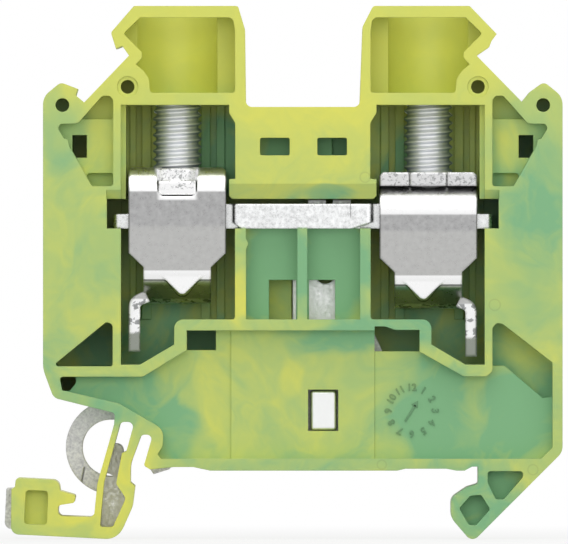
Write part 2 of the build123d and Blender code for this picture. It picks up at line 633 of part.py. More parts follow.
# Clamp screws: headless, slotted, chamfered at both ends
screws = {}
for name, side in (("left", -1), ("right", 1)):
    with BuildPart() as screw:
        with BuildSketch(Plane.XY.offset(screw_bottom)):
            with Locations((side * clamp_x, clamp_y)):
                Circle(screw_diameter / 2)
        extrude(amount=screw_length)
        chamfer(screw.edges().filter_by(GeomType.CIRCLE), 0.4)
        with BuildSketch(Plane.XY.offset(screw_top)):
            with Locations((side * clamp_x, clamp_y)):
                Rectangle(screw_diameter + 1, screw_slot_width)
        extrude(amount=-screw_slot_depth, mode=Mode.SUBTRACT)
    screw.part.label = "clamp_screw_" + name
    screws[name] = screw

os.makedirs("parts", exist_ok=True)
export_step(housing.part, "parts/housing.step")
export_step(current_bar.part, "parts/current_bar.step")
export_step(earth_foot.part, "parts/earth_foot.step")
export_step(cages["left"].part, "parts/clamp_cage_left.step")
export_step(cages["right"].part, "parts/clamp_cage_right.step")
export_step(screws["left"].part, "parts/clamp_screw_left.step")
export_step(screws["right"].part, "parts/clamp_screw_right.step")
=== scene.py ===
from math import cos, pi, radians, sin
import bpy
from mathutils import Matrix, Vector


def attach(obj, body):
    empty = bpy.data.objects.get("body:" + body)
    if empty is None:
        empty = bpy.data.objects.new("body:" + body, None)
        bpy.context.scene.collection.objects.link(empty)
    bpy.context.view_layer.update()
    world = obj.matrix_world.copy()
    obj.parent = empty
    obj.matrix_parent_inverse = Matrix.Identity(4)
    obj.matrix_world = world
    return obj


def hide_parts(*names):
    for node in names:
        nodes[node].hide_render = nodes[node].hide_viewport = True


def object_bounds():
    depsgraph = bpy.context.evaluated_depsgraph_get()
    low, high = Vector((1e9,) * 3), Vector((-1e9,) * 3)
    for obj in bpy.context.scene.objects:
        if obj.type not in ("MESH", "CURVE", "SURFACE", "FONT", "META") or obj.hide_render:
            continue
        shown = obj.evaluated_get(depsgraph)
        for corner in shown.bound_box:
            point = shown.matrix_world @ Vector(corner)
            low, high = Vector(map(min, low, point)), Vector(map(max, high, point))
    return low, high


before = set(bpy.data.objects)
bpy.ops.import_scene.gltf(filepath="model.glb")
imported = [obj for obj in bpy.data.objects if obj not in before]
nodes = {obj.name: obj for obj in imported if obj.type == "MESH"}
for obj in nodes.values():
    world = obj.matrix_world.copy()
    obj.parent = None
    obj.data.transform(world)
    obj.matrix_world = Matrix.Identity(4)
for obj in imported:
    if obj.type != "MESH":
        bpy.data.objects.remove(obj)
start_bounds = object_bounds()

# %% [markdown]
# Earth terminal block, a lesson in giving finished solids their looks.
# The real block is a plastic housing with a copper bar, a steel foot and two screw clamps in it. It
# joins two earth wires to the rail that it snaps on. The frame brings its seven solids, in metres.
# Their forms are finished, so they stay as they are. This script makes only what the
# solids leave out, the threads of the screws and the raised date dial. Then it gives every piece its
# finish, and sets up floor, light and camera.

MM = 0.001
print("frame:", sorted(nodes))

# %% [markdown]
# Operators act on all that is selected, and the loaded solids are selected to begin with. So every
# new piece starts with nothing selected. A finished piece keeps its place in its mesh, with its
# object at the origin, because the finishes read Object coordinates.

# %% Selecting and placing
def deselect():
    if bpy.context.object and bpy.context.object.mode != "OBJECT":
        bpy.ops.object.mode_set(mode="OBJECT")
    bpy.ops.object.select_all(action="DESELECT")


def pick(*pieces):
    deselect()
    for piece in pieces:
        piece.select_set(True)
    bpy.context.view_layer.objects.active = pieces[0]


def apply_place(piece):
    pick(piece)
    bpy.ops.object.transform_apply(location=True, rotation=True, scale=True)


print("helpers: deselect, pick, apply_place")

# %% [markdown]
# A clamp screw is a headless M5 of plated steel with a flat-crested thread. A stack of rings would
# be simpler, but it wouldn't climb, and that shows at the screw's outline. So one turn's section is
# a plane, moved corner by corner into a trapezoid beside the axis.

# %% The section of the thread
CORE_RADIUS, CREST_RADIUS = 2.1, 2.42
SUNK_RADIUS = CORE_RADIUS - 0.1          # the thread's foot is sunk into the core
SECTION = {                              # each corner of the plane gets a radius and a height
    (-1, -1): (SUNK_RADIUS, 0.02), (1, -1): (CREST_RADIUS, 0.31),
    (1, 1): (CREST_RADIUS, 0.43), (-1, 1): (SUNK_RADIUS, 0.78)}
deselect()
bpy.ops.mesh.primitive_plane_add(size=MM, location=(0, 0, 0))
thread = bpy.context.object
for corner in thread.data.vertices:
    radius, height = SECTION[1 if corner.co.x > 0 else -1, 1 if corner.co.y > 0 else -1]
    corner.co = (radius * MM, 0, height * MM)
print("section:", len(thread.data.vertices), "corners")

# %% [markdown]
# The Screw modifier carries the section round the axis and up by one pitch a turn. The helix starts
# below the screw and ends above it, and is cut to length later.

# %% The helix
CLAMP_X, CLAMP_Y = 12.5, -0.5            # the axis of the right clamp; the left one is at -CLAMP_X
SCREW_BOTTOM, SCREW_TOP = 26.65, 36.95
THREAD_PITCH = 0.8
LEAD_IN = 1.2
TURNS, STEPS_IN_A_TURN = 15, 48
pick(thread)
bpy.ops.object.modifier_add(type="SCREW")
climb = thread.modifiers[-1]
climb.axis, climb.screw_offset, climb.iterations = "Z", THREAD_PITCH * MM, TURNS
climb.steps = climb.render_steps = STEPS_IN_A_TURN
climb.use_merge_vertices, climb.use_normal_calculate = False, True
bpy.ops.object.modifier_apply(modifier=climb.name)
thread.location = (CLAMP_X * MM, CLAMP_Y * MM, (SCREW_BOTTOM - LEAD_IN) * MM)
apply_place(thread)
print("helix:", len(thread.data.polygons), "faces")

# %% [markdown]
# A boolean needs a closed solid, and the helix is a tube that is open at both ends. The edges of the
# two openings are the only boundary edges, so they are easy to select, and both are filled.

# %% The helix is closed
def outward(piece):
    pick(piece)
    bpy.ops.object.mode_set(mode="EDIT")
    bpy.ops.mesh.select_all(action="SELECT")
    bpy.ops.mesh.normals_make_consistent(inside=False)
    bpy.ops.object.mode_set(mode="OBJECT")


pick(thread)
bpy.ops.object.mode_set(mode="EDIT")
bpy.ops.mesh.select_all(action="DESELECT")
bpy.ops.mesh.select_mode(type="EDGE")
bpy.ops.mesh.select_non_manifold(extend=False, use_wire=False, use_boundary=True,
                                 use_multi_face=False, use_non_contiguous=False, use_verts=False)
bpy.ops.mesh.fill()
bpy.ops.object.mode_set(mode="OBJECT")
outward(thread)
print("closed helix:", len(thread.data.polygons), "faces")

# %% [markdown]
# The ends of a real screw are chamfered, and the thread runs out on the chamfer. Two chamfered
# cylinders give this: what is inside the wide one stays of the thread, and the narrow one is the
# core. Both end a hair inside the plain solid that the finished screw replaces.

# %% Cutting and joining
def boolean(piece, other, operation):
    pick(piece)
    bpy.ops.object.modifier_add(type="BOOLEAN")
    step = piece.modifiers[-1]
    step.operation, step.solver, step.object = operation, "EXACT", other
    bpy.ops.object.modifier_apply(modifier=step.name)
    pick(other)
    bpy.ops.object.delete()


def chamfered_cylinder(radius, low, high, chamfer):
    deselect()
    bpy.ops.mesh.primitive_cylinder_add(
        vertices=64, radius=radius * MM, depth=(high - low) * MM,
        location=(CLAMP_X * MM, CLAMP_Y * MM, (low + high) / 2 * MM))
    piece = bpy.context.object
    bpy.ops.object.modifier_add(type="BEVEL")
    bevel = piece.modifiers[-1]
    bevel.width, bevel.segments = chamfer * MM, 1
    bevel.limit_method, bevel.angle_limit = "ANGLE", radians(60)
    bpy.ops.object.modifier_apply(modifier=bevel.name)
    apply_place(piece)
    return piece


print("helpers: boolean, chamfered_cylinder")

# %% The threaded blank
LIMIT_RADIUS, LIMIT_CHAMFER = 2.45, 0.45
CORE_CHAMFER = 0.12
HAIR = 0.01
screw_ends = (SCREW_BOTTOM + HAIR, SCREW_TOP - HAIR)
boolean(thread, chamfered_cylinder(LIMIT_RADIUS, *screw_ends, LIMIT_CHAMFER), "INTERSECT")
boolean(thread, chamfered_cylinder(CORE_RADIUS, *screw_ends, CORE_CHAMFER), "UNION")
print("threaded blank:", len(thread.data.polygons), "faces")

# %% [markdown]
# The slot for the screwdriver is sawn straight across the top, along the block. It is open at both
# ends, so a box longer than the screw is wide is cut away. Shading by angle keeps the crests round
# and the slot's edges crisp.

# %% The slot
SLOT_LENGTH, SLOT_WIDTH, SLOT_DEPTH = 8.0, 1.0, 1.5


def box(centre, size, turn=0.0):
    deselect()
    bpy.ops.mesh.primitive_cube_add(
        size=1, location=tuple(c * MM for c in centre), rotation=(0, turn, 0),
        scale=tuple(s * MM for s in size))
    piece = bpy.context.object
    apply_place(piece)
    return piece


def finish_mesh(piece, name):
    outward(piece)
    bpy.ops.object.shade_smooth_by_angle(angle=radians(30))
    piece.name = piece.data.name = name


saw_cut = box((CLAMP_X, CLAMP_Y, SCREW_TOP), (SLOT_LENGTH, SLOT_WIDTH, 2 * SLOT_DEPTH))
boolean(thread, saw_cut, "DIFFERENCE")
finish_mesh(thread, "threaded_screw_right")
right_screw = thread
print("screw:", right_screw.name, len(right_screw.data.polygons), "faces")

# %% [markdown]
# Both clamps have the same screw, so the left one is a copy with its own mesh, moved across.

# %% The second screw
pick(right_screw)
bpy.ops.object.duplicate()
left_screw = bpy.context.object
left_screw.name = left_screw.data.name = "threaded_screw_left"
bpy.ops.transform.translate(value=(-2 * CLAMP_X * MM, 0, 0))
apply_place(left_screw)
print("screw:", left_screw.name, len(left_screw.data.polygons), "faces")

# %% [markdown]
# A mould leaves a date dial on its parts: twelve numbers in a ring, and an arrow. It could be a
# bump in the material, but raised figures catch the light at their sides, so they are text with a
# thickness. Half of each figure is inside the web, and half of it stands out.

# %% The numbers of the date dial
WEB_Y = -4.1                             # the web's open side
DIAL_X, DIAL_Z = 10.85, 5.95
RING_RADIUS, FIGURE_SIZE = 2.3, 1.0
FIGURE_RELIEF, FIGURE_GAIN = 0.12, 0.025


def raised_number(number):
    turn = radians(30 * number)
    x, z = DIAL_X + RING_RADIUS * sin(turn), DIAL_Z + RING_RADIUS * cos(turn)
    deselect()
    bpy.ops.object.text_add(location=(x * MM, WEB_Y * MM, z * MM), rotation=(pi / 2, turn, 0))
    text = bpy.context.object.data
    text.body, text.size = str(number), FIGURE_SIZE * MM
    text.align_x, text.align_y = "CENTER", "CENTER"
    text.extrude, text.offset = FIGURE_RELIEF * MM, FIGURE_GAIN * MM
    bpy.ops.object.convert(target="MESH")
    piece = bpy.context.object
    apply_place(piece)
    return piece


numbers = [raised_number(number) for number in range(1, 13)]
print("numbers:", len(numbers))

# %% [markdown]
# The arrow's head is a prism of three sides and its shaft a thin box. Both are turned alike and
# joined with the numbers into one piece.

# %% The arrow of the date dial
ARROW_TURN = radians(32)
ARROW_THICKNESS = 0.28
HEAD_RADIUS, HEAD_REACH = 0.42, 0.75
SHAFT_WIDTH, SHAFT_LENGTH = 0.2, 1.9
SHAFT_OFFSET_X, SHAFT_OFFSET_Z = -0.15, -0.25
head_x, head_z = DIAL_X + HEAD_REACH * sin(ARROW_TURN), DIAL_Z + HEAD_REACH * cos(ARROW_TURN)
shaft_x, shaft_z = DIAL_X + SHAFT_OFFSET_X, DIAL_Z + SHAFT_OFFSET_Z
deselect()
bpy.ops.mesh.primitive_cylinder_add(
    vertices=3, radius=HEAD_RADIUS * MM, depth=ARROW_THICKNESS * MM,
    rotation=(pi / 2, ARROW_TURN, 0), location=(head_x * MM, WEB_Y * MM, head_z * MM))
head = bpy.context.object
apply_place(head)
shaft = box((shaft_x, WEB_Y, shaft_z), (SHAFT_WIDTH, ARROW_THICKNESS, SHAFT_LENGTH), ARROW_TURN)
pick(shaft, head, *numbers)
bpy.ops.object.join()
date_dial = bpy.context.object
finish_mesh(date_dial, "date_dial")
print("date dial:", len(date_dial.data.polygons), "faces")

# %% [markdown]
# The finishes are node trees, and nodes are easier to read when short functions place and link them.
# Each function returns the socket that it ends in, and takes numbers, vectors, colours or sockets.

# %% Placing and linking nodes
def node(tree, kind, **settings):
    n = tree.nodes.new(kind)
    for key, value in settings.items():
        setattr(n, key, value)
    return n


def feed(tree, socket, value):
    """Link another socket to this one, or set it to a number, a vector or a colour."""
    if isinstance(value, bpy.types.NodeSocket):
        tree.links.new(value, socket)
    elif socket.type == "RGBA":
        socket.default_value = (*value, 1)
    else:
        socket.default_value = value


def compute(tree, operation, *values, clamp=False):
    n = node(tree, "ShaderNodeMath", operation=operation, use_clamp=clamp)
    for socket, value in zip(n.inputs, values):
        feed(tree, socket, value)
    return n.outputs["Value"]


def times(tree, first, *others):
    for other in others:
        first = compute(tree, "MULTIPLY", first, other)
    return first


def largest(tree, first, *others):
    for other in others:
        first = compute(tree, "MAXIMUM", first, other)
    return first


def away_from(tree, value, place):
    return compute(tree, "ABSOLUTE", compute(tree, "SUBTRACT", value, place))


print("helpers: node, feed, compute, times, largest, away_from")

# %% Vectors, textures and colours
def vector(tree, operation, *values):
    n = node(tree, "ShaderNodeVectorMath", operation=operation)
    for socket, value in zip(n.inputs, values):
        feed(tree, socket, value)
    return n.outputs["Value" if operation == "LENGTH" else "Vector"]


def scaled(tree, point, factor):
    n = node(tree, "ShaderNodeVectorMath", operation="SCALE")
    tree.links.new(point, n.inputs[0])
    n.inputs["Scale"].default_value = factor
    return n.outputs["Vector"]


def noise(tree, point, scale, detail, roughness, distortion=0.0, output="Fac"):
    n = node(tree, "ShaderNodeTexNoise")
    settings = {"Vector": point, "Scale": scale, "Detail": detail, "Roughness": roughness,
                "Distortion": distortion}
    for name, value in settings.items():
        feed(tree, n.inputs[name], value)
    return n.outputs[output]


def ramp(tree, value, low, high, out_low=0.0, out_high=1.0):
    """Goes smoothly from out_low, where value is low, to out_high, where it is high."""
    n = node(tree, "ShaderNodeMapRange", interpolation_type="SMOOTHSTEP")
    tree.links.new(value, n.inputs["Value"])
    for name, v in (("From Min", low), ("From Max", high), ("To Min", out_low), ("To Max", out_high)):
        n.inputs[name].default_value = v
    return n.outputs["Result"]


def mix_colour(tree, share, under, over, blend="MIX"):
    n = node(tree, "ShaderNodeMix", data_type="RGBA", blend_type=blend)
    for name, value in (("Factor", share), ("A", under), ("B", over)):
        feed(tree, n.inputs[name], value)
    return n.outputs["Result"]


print("helpers: vector, scaled, noise, ramp, mix_colour")

# %% [markdown]
# What several finishes use is a node group with named inputs, built once. A group puts out only a
# colour, a mask, a value or a normal, and the shaders stay in the materials.

# %% A new group
SOCKETS = {"vector": "NodeSocketVector", "colour": "NodeSocketColor", "value": "NodeSocketFloat"}


def new_group(name, inputs, output):
    """inputs and output are pairs of name and kind. Every group takes a point as well."""
    group = bpy.data.node_groups.new(name, "ShaderNodeTree")
    for label, kind in (("Point", "vector"), *inputs):
        group.interface.new_socket(name=label, in_out="INPUT", socket_type=SOCKETS[kind])
    label, kind = output
    group.interface.new_socket(name=label, in_out="OUTPUT", socket_type=SOCKETS[kind])
    return group, node(group, "NodeGroupInput").outputs, node(group, "NodeGroupOutput").inputs[0]


print("helper: new_group")

# %% [markdown]
# Earth blocks are moulded from yellow and green granules that don't mix fully, so soft swirls of
# green run through the yellow. Noise alone would put them anywhere, so round patches say where this
# block is greener or yellower. A slow noise bends the patches, and finer ones fray them.

# %% The patches
# Each has a centre x, y, z and its radii, in millimetres, and the green that it adds or takes away.
PATCHES = [
    ((-24.5, 0, 34), (2.8, 9, 5.5), 0.35), ((22.8, 0, 27), (5.6, 9, 13), 0.42),
    ((17.4, -2, 6), (10.0, 4, 9.5), 0.52), ((-18.4, -3, 7.2), (6.6, 4, 4.6), 0.4),
    ((-12.9, -4, 3.2), (1.8, 2.5, 3.8), 0.4), ((-19.5, 0, -2.0), (6, 9, 6.0), -0.6),
    ((-26, 0, -3.5), (5, 9, 5.0), -0.3), ((0, -6, 32), (9.0, 4, 7.5), -0.28),
    ((2.6, -6, 26.9), (3.4, 4, 0.8), 0.5), ((0, -3.2, 20.5), (7.4, 1.8, 6.5), 0.7),
    ((1.5, -6, 21), (7.6, 3, 5.6), 0.5), ((-6.2, -6, 17), (1.6, 3, 3.0), -0.5),
    ((-8.8, 4, 31), (2.4, 1.6, 6), 0.6), ((8.8, 4, 31), (2.4, 1.6, 6), 0.6),
    ((-12.5, 4, 14), (6, 1.6, 7), 0.5), ((12.5, 4, 14), (6, 1.6, 7), 0.4),
    ((2.9, -4, 12.7), (4.4, 3, 1.5), 0.45), ((-25, 0, 13), (1.8, 9, 6), 0.25),
    ((-21, 3, 12), (3.6, 2.4, 3.4), 0.5), ((-24, 0, 23), (2.0, 9, 4.5), -0.1),
    ((-19.5, -6, 15.8), (2.6, 4, 2.2), -0.2), ((-9.4, -4, 7), (1.4, 4, 5), -0.15),
    ((2.0, -4, 3.8), (2.6, 4, 2.2), -0.12), ((-1.8, -4, 9.5), (1.4, 4, 1.8), -0.2),
    ((17.5, -5, -3.3), (4.2, 5, 4.3), 0.42), ((9.6, -6, 14.2), (7.0, 3, 2.2), 0.5),
    ((0, 0, 32.2), (6, 5.0, 3), 0.9), ((21, -4, 32), (2.4, 1.9, 3.6), -0.5),
    ((-21, -4, 32), (2.4, 1.9, 3.6), -0.15), ((21.8, -1.7, 11.5), (3.6, 2.2, 4.0), -0.5),
    ((2, -6, 0.4), (16, 3, 1.2), 0.15),
]
PATCH_EDGE = (1.25, 0.65)                # a patch fades in between these shares of its radii
print("patches:", len(PATCHES))

# %% Where the green is
BEND = 7.0                               # millimetres, from one extreme of the slow noise to the other
TOWER_FOOT_Z = (41.0, 30.0)              # the towers stay yellow, and the green rises below them
TOWER_GREEN, BODY_GREEN = 0.12, 0.53
swirl, given, colour_out = new_group(
    "swirled_colour", [("Yellow", "colour"), ("Green", "colour")], ("Colour", "colour"))
point = scaled(swirl, given["Point"], 1 / MM)
bend = noise(swirl, point, scale=0.12, detail=2.5, roughness=0.5, distortion=0.8, output="Color")
bend = scaled(swirl, vector(swirl, "SUBTRACT", bend, (0.5, 0.5, 0.5)), BEND)
bent_point = vector(swirl, "ADD", point, bend)
bent = node(swirl, "ShaderNodeSeparateXYZ")
swirl.links.new(bent_point, bent.inputs[0])
green = ramp(swirl, bent.outputs["Z"], *TOWER_FOOT_Z, TOWER_GREEN, BODY_GREEN)
for centre, radii, strength in PATCHES:
    from_centre = vector(swirl, "SUBTRACT", bent_point, centre)
    share_of_radii = vector(swirl, "LENGTH", vector(swirl, "DIVIDE", from_centre, radii))
    green = compute(swirl, "ADD", green, ramp(swirl, share_of_radii, *PATCH_EDGE, 0.0, strength))
print("green areas:", len(swirl.nodes), "nodes")

# %% [markdown]
# Streaks and wisps are the same kind of noise at two scales, both round zero. They are stronger low
# on the block, and on the closed side, which many of the patches don't reach.

# %% Streaks and wisps
WISP_STRENGTH = 0.5
STREAKED_Z, TOWER_STREAKS, BODY_STREAKS = (40.0, 27.0), 0.2, 0.85
CLOSED_SIDE_Y, MORE_STREAKS = (4.5, 6.0), 0.45
streaks = noise(swirl, bent_point, scale=0.12, detail=4.0, roughness=0.55, distortion=1.4)
wisps = noise(swirl, bent_point, scale=0.2, detail=1.5, roughness=0.5, distortion=2.6)
wisps = times(swirl, compute(swirl, "SUBTRACT", wisps, 0.5), WISP_STRENGTH)
streaks = compute(swirl, "ADD", compute(swirl, "SUBTRACT", streaks, 0.5), wisps)
by_height = ramp(swirl, bent.outputs["Z"], *STREAKED_Z, TOWER_STREAKS, BODY_STREAKS)
by_side = ramp(swirl, bent.outputs["Y"], *CLOSED_SIDE_Y, 0.0, MORE_STREAKS)
streaks = times(swirl, streaks, compute(swirl, "ADD", by_height, by_side))
green = compute(swirl, "ADD", green, streaks, clamp=True)
swirl.links.new(mix_colour(swirl, green, given["Yellow"], given["Green"]), colour_out)
print("swirled_colour:", len(swirl.nodes), "nodes")

# %% [markdown]
# The mould's ejector pins leave faint rings on the open side. They are too shallow to model, so a
# mask marks them: it is 1 where the distance from a pin's centre is the pin's radius.

# %% The ejector pins' rings
OPEN_SIDE_Y = -6.1
LINE_EDGE = (0.1, 0.03)                  # a ring's line fades in between these distances from it
# Each mark has its centre's x and z, and its radius, in millimetres.
PIN_MARKS = [(19.1, 16.5, 0.55), (6.2, 29.2, 0.5), (7.86, 0.6, 0.45), (22.9, 0.1, 0.5)]
rings, given, mask_out = new_group("faint_rings", [], ("Mask", "value"))
point = scaled(rings, given["Point"], 1 / MM)
marks = []
for x, z, radius in PIN_MARKS:
    from_centre = vector(rings, "SUBTRACT", point, (x, OPEN_SIDE_Y, z))
    from_ring = away_from(rings, vector(rings, "LENGTH", from_centre), radius)
    marks.append(ramp(rings, from_ring, *LINE_EDGE))
rings.links.new(largest(rings, *marks), mask_out)
print("faint_rings:", len(marks), "rings")

# %% [markdown]
# No surface is quite flat. Grain is a fine noise that tilts the normal, and mottling is a value
# round 1 that makes a plated metal lighter and darker, shinier and duller from spot to spot.

# %% Grain and mottling
grain, given, normal_out = new_group(
    "fine_grain", [("Size", "value"), ("Height", "value"), ("Normal", "vector")], ("Normal", "vector"))
bump = node(grain, "ShaderNodeBump")
feed(grain, bump.inputs["Distance"], given["Height"])
bumps = noise(grain, given["Point"], scale=given["Size"], detail=3.0, roughness=0.6)
feed(grain, bump.inputs["Height"], bumps)
feed(grain, bump.inputs["Normal"], given["Normal"])
grain.links.new(bump.outputs["Normal"], normal_out)

mottle, given, value_out = new_group(
    "mottling", [("Size", "value"), ("Spread", "value")], ("Value", "value"))
spots = noise(mottle, given["Point"], scale=given["Size"], detail=4.0, roughness=0.65)
spots = times(mottle, compute(mottle, "SUBTRACT", spots, 0.5), given["Spread"])
mottle.links.new(compute(mottle, "ADD", spots, 1.0), value_out)
print("groups:", [g.name for g in bpy.data.node_groups])

# %% [markdown]
# Every material starts as a Principled shader, with the piece's Object coordinates at hand. A Bevel
# node makes sharp edges look a little rounded, and the grain is laid over its normal.

# %% A new material
def new_material(name):
    material = bpy.data.materials.new(name)
    material.use_nodes = True
    tree = material.node_tree
    return material, tree, tree.nodes["Principled BSDF"], node(tree, "ShaderNodeTexCoord").outputs["Object"]


def use_group(tree, group, point, **values):
    n = node(tree, "ShaderNodeGroup", node_tree=group)
    tree.links.new(point, n.inputs["Point"])
    for name, value in values.items():
        feed(tree, n.inputs[name], value)
    return n.outputs[0]


def rough_surface(tree, point, shader, edge_radius, size, height):
    """Edges look rounded by edge_radius in millimetres. size is the grain's noise scale, to a metre."""
    edge = node(tree, "ShaderNodeBevel", samples=4)
    edge.inputs["Radius"].default_value = edge_radius * MM
    normal = use_group(tree, grain, point, Size=size, Height=height, Normal=edge.outputs["Normal"])
    tree.links.new(normal, shader.inputs["Normal"])


print("helpers: new_material, use_group, rough_surface")

# %% [markdown]
# The housing's polyamide is silky, neither dull nor glossy. The dial is the same plastic, but its
# fine figures only show in the photo by their shaded sides, so its copy of the material is darker.

# %% The housing's plastic
YELLOW, GREEN = (0.7, 0.7, 0.11), (0.2, 0.44, 0.215)
SHADED_YELLOW, SHADED_GREEN = (0.4, 0.43, 0.07), (0.13, 0.29, 0.14)
RING_SHADE, RING_STRENGTH = (0.5, 0.5, 0.5), 0.25


def swirled_plastic(name, yellow, green):
    material, tree, shader, point = new_material(name)
    swirls = use_group(tree, swirl, point, Yellow=yellow, Green=green)
    ring_mask = times(tree, use_group(tree, rings, point), RING_STRENGTH)
    colour = mix_colour(tree, ring_mask, swirls, RING_SHADE, "MULTIPLY")
    tree.links.new(colour, shader.inputs["Base Color"])
    shader.inputs["Roughness"].default_value = 0.42
    rough_surface(tree, point, shader, edge_radius=0.12, size=4000.0, height=0.000004)
    print("material:", name)
    return material


plastic = swirled_plastic("swirled_plastic", YELLOW, GREEN)
# The dial's darker copy of the plastic is painted shade on its figures.
dial_plastic_painted_shade = swirled_plastic("dial_plastic_painted_shade", SHADED_YELLOW, SHADED_GREEN)

# %% [markdown]
# Four platings, all made the same way. They differ in colour and shine, in how strongly they are
# mottled, and in their grain. The bar's tin is bright, and the stamped foot is dull and sandy.

# %% The plated metals
def metal(name, colour, roughness, spot_size, spread, edge_radius, grain_size, grain_height,
          metallic=1.0):
    material, tree, shader, point = new_material(name)
    spots = use_group(tree, mottle, point, Size=spot_size, Spread=spread)
    tree.links.new(mix_colour(tree, 1.0, colour, spots, "MULTIPLY"), shader.inputs["Base Color"])
    tree.links.new(times(tree, spots, roughness), shader.inputs["Roughness"])
    shader.inputs["Metallic"].default_value = metallic
    rough_surface(tree, point, shader, edge_radius, grain_size, grain_height)
    print("material:", name)
    return material


cage_metal = metal(
    "cage_plating", (0.42, 0.42, 0.42), roughness=0.3, spot_size=1800.0, spread=0.8,
    edge_radius=0.35, grain_size=1500.0, grain_height=0.00001)
bar_metal = metal(
    "tin_plating", (0.85, 0.86, 0.86), roughness=0.28, spot_size=2800.0, spread=1.2,
    edge_radius=0.25, grain_size=1200.0, grain_height=0.000008)
foot_metal = metal(
    "dull_plating", (0.6, 0.6, 0.58), roughness=0.45, spot_size=3200.0, spread=1.7,
    edge_radius=0.2, grain_size=2500.0, grain_height=0.00002)
screw_metal = metal(
    "screw_plating", (0.86, 0.87, 0.88), roughness=0.48, spot_size=600.0, spread=0.25,
    edge_radius=0.08, grain_size=1500.0, grain_height=0.000006, metallic=0.85)

# %% [markdown]
# Tools polish metal where it is sheared. The bright bends and pressed places and the dark hollows and
# sides are painted highlight and painted shade. A piece could be cut into several materials there,
# but the change is soft, so masks over the millimetres of the piece mark such places, and each mask
# lays another colour over the plating.

# %% Masks and tints
def object_point(tree):
    return tree.nodes["Texture Coordinate"].outputs["Object"]


def millimetres(tree):
    place = node(tree, "ShaderNodeSeparateXYZ")
    tree.links.new(scaled(tree, object_point(tree), 1 / MM), place.inputs[0])
    return place.outputs["X"], place.outputs["Y"], place.outputs["Z"]


def below(tree, value, limit, soft=0.12):
    return ramp(tree, value, limit + soft, limit - soft)


def band(tree, value, low, high, soft=0.12):
    """1 between low and high, with soft ends."""
    return times(tree, ramp(tree, value, low - soft, low + soft), below(tree, value, high, soft))


def without(tree, mask):
    return compute(tree, "SUBTRACT", 1.0, mask)


def tint(tree, mask, colour, strength=1.0, blend="MIX"):
    base = tree.nodes["Principled BSDF"].inputs["Base Color"]
    plated = base.links[0].from_socket
    tree.links.new(mix_colour(tree, times(tree, mask, strength), plated, colour, blend), base)


print("helpers: object_point, millimetres, below, band, without, tint")

# %% [markdown]
# The foot gets painted light on the pressed lug that looks out of the square window and on the two
# prongs riveted in the bar. The long finger beside the spring foot is a little lighter.

# %% The earth foot
LUG_Y, PRONG_Z = (-1.6, -2.0), (13.0, 14.5)
FINGER_X, FINGER_Z = (-20.0, -17.0), (2.9, 2.6)
FOOT_PAINTED_LIGHT, FINGER_TINT = (0.88, 0.89, 0.88), (0.85, 0.85, 0.8)
tree = foot_metal.node_tree
x, y, z = millimetres(tree)
# Painted light on the lug and the prongs, which are made lighter than the plating.
tint(tree, largest(tree, ramp(tree, y, *LUG_Y), ramp(tree, z, *PRONG_Z)), FOOT_PAINTED_LIGHT)
tint(tree, times(tree, band(tree, x, *FINGER_X, soft=0.3), ramp(tree, z, *FINGER_Z)), FINGER_TINT)
print("tinted:", foot_metal.name)

# %% [markdown]
# Both cages are one part, once turned half round, so the same strip shows its notch on the left and
# its sheared edges on the right. They share a material, and its masks tell them apart by x. Depth is
# measured down from the top of a cage.

# %% The cages' bends
LEFT_CAGE_TOP, RIGHT_CAGE_DROP = 30.2, 0.5
BETWEEN_CAGES = (-1.0, 1.0)
LEFT_BEND, RIGHT_BEND, NOTCH_RIM = 2.4, (2.5, 4.2), (2.0, 3.25)
NOTCH_HALF_WIDTH = 1.9
tree = cage_metal.node_tree
x, y, z = millimetres(tree)
on_right = ramp(tree, x, *BETWEEN_CAGES)
on_left = without(tree, on_right)
depth = compute(tree, "SUBTRACT", compute(tree, "SUBTRACT", LEFT_CAGE_TOP, z),
                times(tree, on_right, RIGHT_CAGE_DROP))
from_axis = away_from(tree, compute(tree, "ABSOLUTE", x), CLAMP_X)
left_bend = times(tree, on_left, below(tree, depth, LEFT_BEND))
right_bend = times(tree, on_right, band(tree, depth, *RIGHT_BEND))
notch_rim = times(tree, on_left, band(tree, depth, *NOTCH_RIM),
                  below(tree, from_axis, NOTCH_HALF_WIDTH, soft=0.25))
print("bends: left, right and the notch's rim")

# %% [markdown]
# Under the flat face the strip is folded back, and the fold gets a painted highlight. The fold's edge
# dips over the stiffening nose, so it is found as the depth below a line that itself dips there.

# %% The cages' lower fold
FOLD_START, GUARD_START = (10.2, 10.35), (13.0, 13.2)
FOLD_EDGE, NOSE_TIP = 11.15, 12.75
NOSE_OFFSET, NOSE_HALF_WIDTH, NOSE_TIP_HALF_WIDTH = 0.5, 1.9, 0.15
SHADOW_BAND, PAINTED_LIGHT_FACE_START = (0.02, 0.15), (5.6, 6.1)
PAINTED_HIGHLIGHT, PAINTED_LIGHT_FACE = (0.93, 0.93, 0.93), (0.56, 0.56, 0.54)
from_nose = away_from(tree, compute(tree, "ABSOLUTE", x), CLAMP_X - NOSE_OFFSET)
edge_depth = ramp(tree, from_nose, NOSE_HALF_WIDTH, NOSE_TIP_HALF_WIDTH, FOLD_EDGE, NOSE_TIP)
under_edge = compute(tree, "SUBTRACT", depth, edge_depth)
guards = ramp(tree, depth, *GUARD_START)
fold = times(tree, ramp(tree, depth, *FOLD_START), below(tree, under_edge, 0.0, soft=0.04))
fold_shadow = times(tree, band(tree, under_edge, *SHADOW_BAND, soft=0.05), without(tree, guards))
# Painted light: the flat face is lighter below this depth.
tint(tree, ramp(tree, depth, *PAINTED_LIGHT_FACE_START), PAINTED_LIGHT_FACE, 0.5)
# Painted highlight on the bends, the notch's rim, the fold and the wire guards.
tint(tree, largest(tree, left_bend, right_bend, fold, guards, notch_rim), PAINTED_HIGHLIGHT)
print("fold: its face, its shadow and the wire guards")
